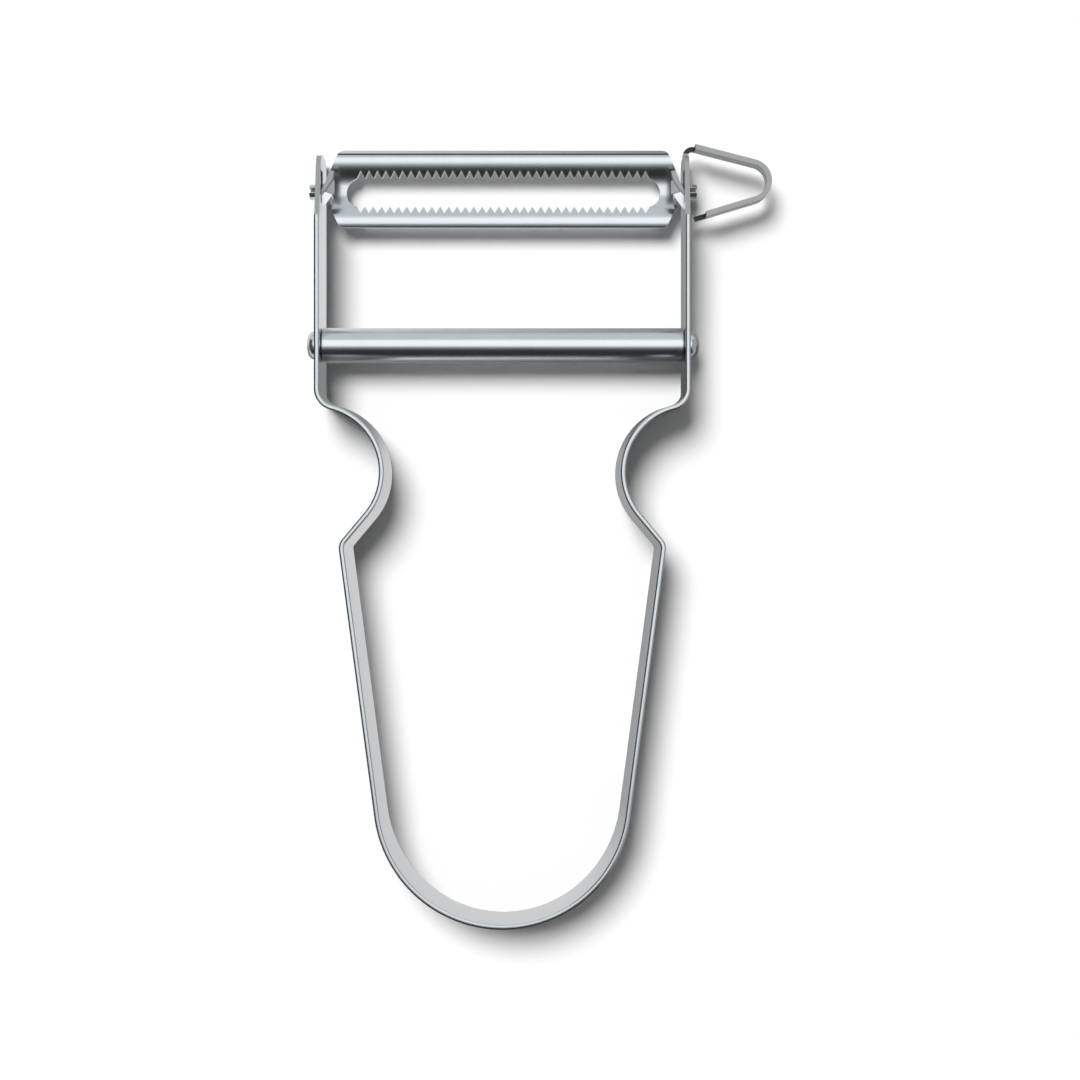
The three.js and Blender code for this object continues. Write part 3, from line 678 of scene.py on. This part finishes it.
def half_bow(size):
    """The right half of the strip's middle line, from the butt to the end of the shoulder."""
    upright = math.pi / 2
    side_heading = upright - size.side_splay
    waist_heading = upright + size.waist_slant
    side_run = Vector((math.cos(side_heading), math.sin(side_heading)))
    waist_run = Vector((math.cos(waist_heading), math.sin(waist_heading)))
    butt = Vector((0.0, size.butt_radius))
    groove = Vector((size.groove_across, size.groove_along))
    side_foot = butt + size.butt_radius * Vector((side_run.y, -side_run.x))
    waist_top = groove - size.groove_radius * Vector((waist_run.y, -waist_run.x))
    apart = waist_top - side_foot
    side_length = apart.cross(waist_run) / side_run.cross(waist_run)
    set_back = size.corner_radius * math.tan((size.side_splay + size.waist_slant) / 2)
    corner = side_foot + (side_length - set_back) * side_run
    corner += size.corner_radius * Vector((-side_run.y, side_run.x))
    shoulder_x = size.arm_across - size.shoulder_radius
    gap = size.groove_radius + size.shoulder_radius
    rise = math.sqrt(gap ** 2 - (groove.x - shoulder_x) ** 2)
    shoulder = Vector((shoulder_x, groove.y + rise))
    shoulder_heading = math.atan2(groove.x - shoulder_x, rise)
    lean = size.wall_lean
    return [
        *bend(butt, size.butt_radius, 0.0, side_heading, 1, 0.0, lean),
        *bend(corner, size.corner_radius, side_heading, waist_heading, 1, lean, lean),
        *bend(groove, size.groove_radius, waist_heading, shoulder_heading, -1, lean, lean),
        *bend(shoulder, size.shoulder_radius, shoulder_heading, upright, 1, lean, 0.0)[1:],
    ]


def loop_line(size, loop, tip):
    """The eye remover's middle line, from the right arm's tip to the free end."""
    half = size.strip_thickness / 2
    arm_outer = size.arm_across + half
    nose = Vector((arm_outer + loop.reach - loop.nose_radius - half, tip - loop.nose_below_tip))
    neck_x = size.arm_across + loop.neck_radius
    rise = loop.nose_radius - loop.neck_radius - (neck_x - nose.x) * math.sin(loop.upper_slope)
    neck = Vector((neck_x, nose.y + rise / math.cos(loop.upper_slope)))
    lower = loop.lower_slope - math.pi
    leg = nose + loop.nose_radius * Vector((math.sin(loop.lower_slope), -math.cos(loop.lower_slope)))
    run = (leg.x - arm_outer - loop.end_gap) / math.cos(loop.lower_slope)
    end = leg - run * Vector((math.cos(loop.lower_slope), math.sin(loop.lower_slope)))
    return [
        *bend(neck, loop.neck_radius, math.pi / 2, -loop.upper_slope, -1, 0.0, 0.0),
        *bend(nose, loop.nose_radius, -loop.upper_slope, lower, -1, 0.0, 0.0),
        (end.x, end.y, lower, 0.0),
    ]


def strip_section(size):
    """The strip's section as (inward, up) points, its back edges polished and its front edge crowned."""
    turn = math.pi / 2
    soft, crown = size.edge_round, size.crown_radius
    half = size.strip_thickness / 2
    back = half - soft
    front = half - crown * math.sin(size.crown_fall)
    high = size.strip_width - crown
    points = arc((back, soft), soft, -turn, 0.0, BACK_EDGE_STEP)
    points += arc((front, high), crown, turn - size.crown_fall, turn, CORNER_STEP)
    points += arc((-front, high), crown, turn, turn + size.crown_fall, CORNER_STEP)
    points += arc((-back, soft), soft, 2 * turn, 3 * turn, BACK_EDGE_STEP)
    return points


def strip_rings(size, places):
    section = strip_section(size)
    rings = []
    for x, y, heading, lean in places:
        ring = []
        for inward, up in section:
            inward += lean * (1 - up / size.strip_width)
            ring.append(Vector((x - inward * math.sin(heading), y + inward * math.cos(heading), up)))
        rings.append(ring)
    return rings


def head_offcuts(size, loop, tip, front_limit, back_limit, name):
    """The two waste pieces that a shear takes off the right head."""
    foot = tip - size.head_length
    beyond = tip + loop.reach
    high = size.strip_width + SPARE
    foot_up = size.strip_width - size.head_step
    round_y = tip - size.head_front_radius
    taper_up = foot_up - (round_y - foot) * math.tan(size.head_taper)
    round_up = taper_up - size.head_front_radius / math.cos(size.head_taper)
    last = math.asin(min(max((front_limit - round_up) / size.head_front_radius, 0.0), 1.0))
    front = [(foot, high), (foot, foot_up)]
    first = math.pi / 2 - size.head_taper
    front += arc((round_y, round_up), size.head_front_radius, first, last, CORNER_STEP)
    front += [(beyond, round_up + size.head_front_radius * math.sin(last)), (beyond, high)]
    back_y = tip - size.head_back_radius
    back = [(back_y, -SPARE)]
    back += arc((back_y, size.head_back_radius), size.head_back_radius, -math.pi / 2, 0.0, CORNER_STEP)
    back += [(tip, back_limit), (beyond, back_limit), (beyond, -SPARE)]
    half = size.strip_thickness / 2
    start = size.arm_across - half - SPARE
    run = 2 * half + SPARE + loop.neck_notch
    return [
        plate(name + "_front", across(front, start), (run, 0, 0)),
        plate(name + "_back", across(back, start), (run, 0, 0)),
    ]


def loop_offcuts(size, loop, tip):
    """What is taken off the loop to leave its narrow band and its notched neck and end."""
    outer = size.arm_across + size.strip_thickness / 2
    start = outer + loop.end_gap / 4
    run = loop.reach + SPARE
    front = loop.middle_height + loop.width / 2
    back = loop.middle_height - loop.width / 2
    low_y = tip - loop.reach
    high_y = tip + loop.reach
    notch_y = tip - loop.nose_below_tip - loop.nose_radius - size.strip_thickness / 2
    notch_run = outer + loop.end_gap + loop.end_notch - start
    notch_low = front - loop.notch_depth
    neck_start = outer - 2 * size.strip_thickness
    neck_run = outer + loop.neck_notch - neck_start
    neck = box_outline(tip + loop.neck_above_tip, high_y, notch_low - loop.neck_extra, front + SPARE)
    above_band = box_outline(low_y, high_y, front, size.strip_width + SPARE)
    below_band = box_outline(low_y, high_y, -SPARE, back)
    notch = box_outline(low_y, notch_y, notch_low, front + SPARE)
    return [
        plate("loop_neck", across(neck, neck_start), (neck_run, 0, 0)),
        plate("loop_front", across(above_band, start), (run, 0, 0)),
        plate("loop_back", across(below_band, start), (run, 0, 0)),
        plate("loop_end", across(notch, start), (notch_run, 0, 0)),
    ]


def arm_holes(size, loop, name):
    """Bearing hole, window and rivet hole of the right arm."""
    start = size.arm_across - size.strip_thickness / 2 - SPARE
    run = size.strip_thickness + SPARE + loop.end_gap / 2
    window_low = PIVOT.z + size.lug_front - size.window_width / 2
    foot = PIVOT.y - size.lug_below_pivot
    top = foot + size.lug_rise + size.window_spare
    bearing = circle(PIVOT.yz, size.bearing_radius)
    rivet = circle(BAR_MIDDLE.yz, size.rivet_hole_radius)
    window = box_outline(foot, top, window_low, window_low + size.window_width)
    return [
        plate(name + "_bearing", across(bearing, start), (run, 0, 0)),
        plate(name + "_window", across(window, start), (run, 0, 0)),
        plate(name + "_rivet", across(rivet, start), (run, 0, 0)),
    ]


def bow_offcuts(size, loop, tip):
    """All that is sheared, notched and punched out of the bent strip."""
    front = loop.middle_height + loop.width / 2
    back = loop.middle_height - loop.width / 2
    waste = head_offcuts(size, loop, tip, front - loop.notch_depth, back, "right_head")
    for tool in head_offcuts(size, loop, tip, size.head_back_radius, size.head_back_radius, "plain_head"):
        waste.append(mirrored(tool, "left_" + tool.name))
        discard(tool)
    waste += loop_offcuts(size, loop, tip)
    for tool in arm_holes(size, loop, "arm"):
        waste += [tool, mirrored(tool, "left_" + tool.name)]
    return waste


def lug_plate(size, name, outline, front, thickness, surface):
    """One plate of the right stop lug, its front face so far in front of the pivot."""
    place = Vector((size.arm_across, PIVOT.y, PIVOT.z + front))
    piece = plate(name, [Vector((x * MM, y * MM, 0.0)) + place for x, y in outline], (0, 0, -thickness))
    piece.data.materials.append(surface)
    return piece


class PEELER_OT_bow(bpy.types.Operator):
    """Bend the strip into the handle, shear its heads and loop the eye remover"""

    bl_idname = "peeler.bow"
    bl_label = "Bow"

    def execute(self, context):
        size = context.scene.peeler_bow
        loop = context.scene.peeler_loop
        look = context.scene.peeler_steel
        tip = PIVOT.y + size.tip_above_pivot
        right = half_bow(size)
        left = [(-x, y, -heading, lean) for x, y, heading, lean in reversed(right[1:])]
        start = (-size.arm_across, tip, -math.pi / 2, 0.0)
        bow = lofted("bow_strip", strip_rings(size, [start, *left, *right, *loop_line(size, loop, tip)]))
        finish = look.polish_roughness, look.polish_wear
        bow.data.materials.append(steel("polished_strip", look.strip, STRIP_GRAIN, *finish))
        sheared = sheared_steel("sheared_edge", look.sheared, look)
        # Painted shade: the cut faces of the loop's neck and free end and of the windows take a near-black
        # colour in place of the shade that falls in them
        hollow = sheared_steel("deep_notch", look.hollow, look)
        burnished = steel("burnished_flank", look.polished, FLANK_GRAIN, *finish)
        for tool in bow_offcuts(size, loop, tip):
            shaded = tool.name.endswith(("_neck", "_end", "_window"))
            tool.data.materials.append(hollow if shaded else sheared)
            combine(bow, tool, "DIFFERENCE")
        lug_front = size.lug_front + size.lug_width / 2
        corner_front = size.flank_front - size.corner_set_back
        for name, outline, front, thickness, surface in (
            ("lug", LUG, lug_front, size.lug_width, sheared),
            ("lug_corner", LUG_CORNER, corner_front, size.flank_thickness, sheared),
            ("lug_flank", LUG_FLANK, size.flank_front, size.flank_thickness, burnished),
        ):
            tool = lug_plate(size, name, outline, front, thickness, surface)
            combine(bow, mirrored(tool, "left_" + name), "UNION")
            combine(bow, tool, "UNION")
        smoothed(bow)
        seat_in_frame(bow, "bow", "frame")
        return {"FINISHED"}


# Blade


def ridge_and_shoulder(size, rim_radius):
    """Centres (y, z) of a rim's roll and of the easy bend inside it, about the hollow's middle."""
    trough_up = size.thickness - size.journal_radius + size.trough_radius
    reach = size.trough_radius + size.shoulder_radius
    gap = size.shoulder_radius - rim_radius
    shoulder = (reach * math.sin(size.flank_slope), trough_up - reach * math.cos(size.flank_slope))
    ridge = (shoulder[0] - gap * math.sin(size.rim_slope), shoulder[1] + gap * math.cos(size.rim_slope))
    return ridge, shoulder


def half_section(size, rim_radius, rim_fall, groove):
    """Half of the blade's section about the hollow's middle: out along the back, in along the front."""
    up = math.pi / 2
    sheet = size.thickness
    hollow = (0.0, sheet - size.journal_radius + size.trough_radius)
    ridge, shoulder = ridge_and_shoulder(size, rim_radius)
    flank = size.flank_slope - up
    bend_from, bend_to = up + size.flank_slope, up + size.rim_slope
    rim = up - rim_fall
    middle = rim_radius - sheet / 2
    edge = (ridge[0] + middle * math.sin(rim_fall), ridge[1] + middle * math.cos(rim_fall))
    half = arc(hollow, size.trough_radius + sheet, -up, flank)
    half += arc(shoulder, size.shoulder_radius - sheet, bend_from, bend_to)[1:]
    half += arc(ridge, rim_radius - sheet, bend_to, rim)[1:-1]
    half += arc(edge, sheet / 2, rim - math.pi, rim, BLADE_EDGE_STEP)
    if groove:
        bed = arc(ridge, rim_radius, up - size.groove_fall, bend_to)
        half.append(bed[0] + size.groove_width * Vector((1.0, math.tan(size.groove_slope))))
        half += bed
    else:
        half += arc(ridge, rim_radius, rim, bend_to)[1:]
    half += arc(shoulder, size.shoulder_radius, bend_to, bend_from)[1:-1]
    return half + arc(hollow, size.trough_radius, flank, -up)


def blade_section(size):
    """The blade's section about the pivot as (y, z) points; the lower rim rolls over less."""
    upper = half_section(size, size.rim_radius, size.rim_fall, True)
    lower = half_section(size, size.lower_rim_radius, size.lower_rim_fall, False)
    lower = [Vector((-point[0], point[1])) for point in reversed(lower[1:-1])]
    return [point + Vector((size.above_pivot, 0.0)) for point in upper + lower]


def half_blade_width(size, rim_radius, rim_fall):
    """From the hollow's middle to the outer edge of a rim."""
    ridge = ridge_and_shoulder(size, rim_radius)[0]
    middle = rim_radius - size.thickness / 2
    return ridge[0] + middle * math.sin(rim_fall) + size.thickness / 2 * math.cos(rim_fall)


def blank_outline(size):
    """The blade seen from the front, without its slot."""
    rim_x = size.rim_length / 2
    notch_x = rim_x - size.notch_inset
    corner_x = rim_x - size.corner_radius
    corner = arc((corner_x, 0.0), size.corner_radius, size.end_slant, math.pi / 2, CORNER_STEP)

    def quarter(rim, tongue):
        slope_x = min(rim_x + (rim - tongue) * math.tan(size.end_slant), size.shoulder_reach)
        points = [(notch_x, tongue), (slope_x, tongue)]
        points += [(point[0], point[1] + rim - size.corner_radius) for point in corner]
        return points + [(corner_x - size.corner_radius, rim + size.thickness)]

    upper = half_blade_width(size, size.rim_radius, size.rim_fall) + size.above_pivot
    lower = half_blade_width(size, size.lower_rim_radius, size.lower_rim_fall) - size.above_pivot
    right = [(x, -y) for x, y in reversed(quarter(lower, size.notch_below))]
    right += quarter(upper, size.tongue_above)
    return right + [(-x, y) for x, y in reversed(right)]


def slot_outline(size):
    """The slot with a saw edge along both sides and a round bay at each end."""
    tip = size.tip_gap / 2
    valley = tip + size.tooth_depth
    last_tip = size.tooth_valleys * size.tooth_pitch / 2
    end = size.slot_length / 2
    run = end - last_tip
    bay = (run ** 2 + tip ** 2) / (2 * run)
    turn = math.atan2(tip, bay - run)
    half = [tuple(point) for point in arc((end - bay, 0.0), bay, -turn, turn, BAY_STEP)]
    for tooth in range(size.tooth_valleys):
        x = last_tip - tooth * size.tooth_pitch
        half.append((x - size.tooth_pitch / 2, valley))
        half.append((x - size.tooth_pitch, tip))
    half.pop()
    return half + [(-x, -y) for x, y in half]


def tongue_rings(size):
    """The right tongue: flat where it leaves the web, then rolled into a journal."""
    half = size.thickness / 2
    free = size.rim_length / 2 - size.notch_inset
    flat = 1 / (size.trough_radius + half)
    rolled = 1 / (size.journal_radius - half)
    middle = half - size.journal_radius
    step = size.tongue_joint
    root = half - step
    stations = [(free - size.tongue_embed, 0.0, root), (free, 0.0, root), (free + step, 0.0, half)]
    for i in range(1, ROLL_STEPS + 1):
        part = i / ROLL_STEPS
        late = max(part - size.tongue_flat, 0.0) / (1 - size.tongue_flat)
        stations.append((free + (size.shoulder_reach - free) * part, eased(late), half))
    stations.append((size.journal_end - size.journal_taper, 1.0, half))
    stations.append((size.journal_end, 1.0, half * size.journal_lip))
    rings = []
    for x, roll, thick in stations:
        curve = flat + (rolled - flat) * roll
        shift = size.above_pivot * (1 - roll)
        ring = []
        for side in (1, -1):
            row = []
            for i in range(TONGUE_STEPS + 1):
                run = -size.tongue_below + (size.tongue_above + size.tongue_below) * i / TONGUE_STEPS
                radius = 1 / curve + side * thick
                turn = run * curve
                up = middle + 1 / curve - radius * math.cos(turn)
                row.append(Vector((x, radius * math.sin(turn) + shift, up)))
            ring += row if side == 1 else row[::-1]
        rings.append([point + PIVOT for point in ring])
    return rings


class PEELER_OT_blade(bpy.types.Operator):
    """Press the blade, cut its toothed slot and roll its journals"""

    bl_idname = "peeler.blade"
    bl_label = "Blade"

    def execute(self, context):
        size = context.scene.peeler_blade
        look = context.scene.peeler_steel
        reach = size.journal_end
        section = [point + PIVOT.yz for point in blade_section(size)]
        blade = plate("toothed_blade", across(section, -reach), (2 * reach, 0, 0))
        blade.data.materials.append(
            steel("blade_steel", look.blade, BLADE_GRAIN, look.polish_roughness, look.polish_wear)
        )
        low = PIVOT.z - size.trough_radius
        height = (0, 0, 2 * size.trough_radius)
        outline = [Vector((x, y + PIVOT.y, low)) for x, y in blank_outline(size)]
        combine(blade, plate("blank", outline, height), "INTERSECT")
        outline = [Vector((x, y + PIVOT.y, low)) for x, y in slot_outline(size)]
        combine(blade, plate("slot", outline, height), "DIFFERENCE")
        tongue = lofted("tongue", tongue_rings(size))
        for tool in (mirrored(tongue, "left_tongue"), tongue):
            combine(blade, tool, "UNION")
        smoothed(blade)
        seat_in_frame(blade, "blade", "blade")
        return {"FINISHED"}


# Crossbar and rivet


class PEELER_OT_crossbar(bpy.types.Operator):
    """Roll the tube between the arms"""

    bl_idname = "peeler.crossbar"
    bl_label = "Crossbar"

    def execute(self, context):
        size = context.scene.peeler_bar
        look = context.scene.peeler_steel
        first = size.seam / 2 - math.pi / 2
        last = 3 * math.pi / 2 - size.seam / 2
        soft = size.end_round
        trims = ((0.0, soft), (QUARTER_ROUND * soft, QUARTER_ROUND * soft), (soft, 0.0))
        stations = [(BAR_LOW.x + inward, trim) for inward, trim in trims]
        stations += [(BAR_HIGH.x - inward, trim) for inward, trim in reversed(trims)]
        rings = []
        for x, trim in stations:
            section = arc(BAR_MIDDLE.yz, size.radius - trim, first, last)
            section += arc(BAR_MIDDLE.yz, size.radius - size.wall, last, first)
            rings.append(across(section, x))
        bar = lofted("crossbar_tube", rings)
        bar.data.materials.append(
            steel("polished_bar", look.polished, BAR_GRAIN, look.polish_roughness, look.polish_wear)
        )
        smoothed(bar)
        seat_in_frame(bar, "crossbar", "frame")
        return {"FINISHED"}


def head_profile(size, height, fullness):
    """Distances from the middle and radii of a rivet head, rim to crown; a fullness of 2 is an oval."""
    power = 2 / fullness
    stations = []
    for i in range(HEAD_STEPS):
        turn = math.pi / 2 * i / HEAD_STEPS
        radius = size.head_radius * math.cos(turn) ** power
        stations.append((size.seat + height * math.sin(turn) ** power, radius))
    return stations


class PEELER_OT_rivet(bpy.types.Operator):
    """Set the rivet that holds the crossbar"""

    bl_idname = "peeler.rivet"
    bl_label = "Through rivet"

    def execute(self, context):
        size = context.scene.peeler_bar
        look = context.scene.peeler_steel
        button = head_profile(size, size.button_height, size.button_fullness)
        stations = [(-x, radius) for x, radius in reversed(button)]
        stations += [(-size.seat, size.shank_radius), (size.seat, size.shank_radius)]
        stations += head_profile(size, size.dome_height, size.dome_fullness)
        rings = [across(circle(BAR_MIDDLE.yz, radius, RIVET_STEP), x) for x, radius in stations]
        rivet = lofted("through_rivet_steel", rings)
        rivet.data.materials.append(
            steel("polished_rivet", look.polished, RIVET_GRAIN, look.polish_roughness, look.rivet_wear)
        )
        smoothed(rivet, RIVET_SMOOTH_LIMIT)
        seat_in_frame(rivet, "through_rivet", "frame")
        return {"FINISHED"}


# Stage

# How a card is graded from its foot (0) to its head (1)
EVEN = ((0.0, 1.0), (1.0, 1.0))
FADING_UP = ((0.0, 0.45), (0.06, 0.55), (0.14, 0.9), (0.22, 1.0))
FADING_DOWN = ((0.0, 0.04), (0.56, 0.045), (0.70, 0.09), (0.86, 0.38), (1.0, 1.0))

# Cards: name, colour, brightness, bearing from +X, height of their middle, half angles across and up
# and grades; they hang at one distance round a point near the peeler's middle, in metres
CARDS = (
    ("soft_box", (0.97, 1.0, 1.0), 1.5, 90.0, 79.5, 35.0, 19.5, EVEN),
    ("pale_wall", (0.93, 0.99, 1.0), 0.86, 90.0, 29.0, 45.0, 27.0, FADING_UP),
    ("dark_wall", (0.92, 0.98, 1.0), 1.0, -90.0, 41.0, 50.0, 37.0, FADING_DOWN),
    ("left_wall", (1.0, 1.0, 1.0), 0.10, 180.0, 40.0, 40.0, 36.0, EVEN),
    ("right_wall", (1.0, 1.0, 1.0), 0.45, 0.0, 32.0, 40.0, 28.0, EVEN),
)
CARD_DISTANCE = 1.5
CARD_AIM = Vector((0, 0.055, 0))


def card(name, rgb, glow, bearing, height, half_across, half_up, grades):
    """Hangs one card that faces the peeler and shows in its steel alone."""
    bearing, height = math.radians(bearing), math.radians(height)
    away = Vector((
        math.cos(bearing) * math.cos(height), math.sin(bearing) * math.cos(height), math.sin(height)
    ))
    begin()
    bpy.ops.mesh.primitive_plane_add(size=2.0)
    piece = bpy.context.object
    piece.name = name
    wide, tall = (CARD_DISTANCE * math.tan(math.radians(half)) for half in (half_across, half_up))
    piece.scale = (wide, tall, 1)
    piece.rotation_euler = away.to_track_quat("Z", "Y").to_euler()
    piece.location = away * CARD_DISTANCE + CARD_AIM
    piece.data.materials.append(card_paper(name + "_paper", rgb, glow, grades))
    piece.visible_camera = False
    piece.visible_diffuse = False
    piece.visible_shadow = False


class PEELER_OT_stage(bpy.types.Operator):
    """Lay the table, hang the lights and place the camera"""

    bl_idname = "peeler.stage"
    bl_label = "Table, lights and camera"

    def execute(self, context):
        scene = context.scene
        look = scene.peeler_stage
        begin()
        bpy.ops.mesh.primitive_plane_add(size=look.table_size, location=(0, 0, -look.table_drop))
        table = context.object
        table.name = "table"
        table.data.materials.append(white_table("white_table", look))

        bpy.ops.object.light_add(type="SUN", location=look.key_place)
        key = context.object
        key.name = "window"
        key.data.energy = look.key_power
        key.data.angle = look.key_softness
        key.rotation_euler = Vector(look.key_direction).to_track_quat("-Z", "Y").to_euler()
        key.visible_glossy = False
        scene.world = studio_room("studio_room", look.room_level)
        for place in CARDS:
            card(*place)

        bpy.ops.object.camera_add(location=(look.camera_across, look.camera_along, look.camera_height))
        camera = context.object
        camera.rotation_euler = (0, 0, 0)
        camera.data.lens = look.lens
        camera.data.sensor_width = look.sensor
        camera.data.clip_start = look.nearest_seen
        scene.camera = camera
        scene.view_settings.view_transform = "Standard"
        return {"FINISHED"}


class PEELER_PT_panel(bpy.types.Panel):
    """Lists the peeler's pieces in the sidebar"""

    bl_idname = "PEELER_PT_panel"
    bl_label = "Serrated Peeler"
    bl_space_type = "VIEW_3D"
    bl_region_type = "UI"
    bl_category = "Peeler"

    def draw(self, context):
        for operator in OPERATORS:
            self.layout.operator(operator.bl_idname)


GROUPS = {
    "peeler_bow": BowSizes,
    "peeler_loop": LoopSizes,
    "peeler_blade": BladeSizes,
    "peeler_bar": BarSizes,
    "peeler_steel": SteelLook,
    "peeler_stage": StageLook,
}
OPERATORS = (PEELER_OT_bow, PEELER_OT_blade, PEELER_OT_crossbar, PEELER_OT_rivet, PEELER_OT_stage)


def register():
    for name, group in GROUPS.items():
        bpy.utils.register_class(group)
        setattr(bpy.types.Scene, name, bpy.props.PointerProperty(type=group))
    for operator in OPERATORS:
        bpy.utils.register_class(operator)
    bpy.utils.register_class(PEELER_PT_panel)


def unregister():
    bpy.utils.unregister_class(PEELER_PT_panel)
    for operator in reversed(OPERATORS):
        bpy.utils.unregister_class(operator)
    for name, group in reversed(GROUPS.items()):
        delattr(bpy.types.Scene, name)
        bpy.utils.unregister_class(group)


def main():
    register()
    bpy.ops.peeler.bow()
    bpy.ops.peeler.blade()
    bpy.ops.peeler.crossbar()
    bpy.ops.peeler.rivet()
    bpy.ops.peeler.stage()


if __name__ == "__main__":
    main()
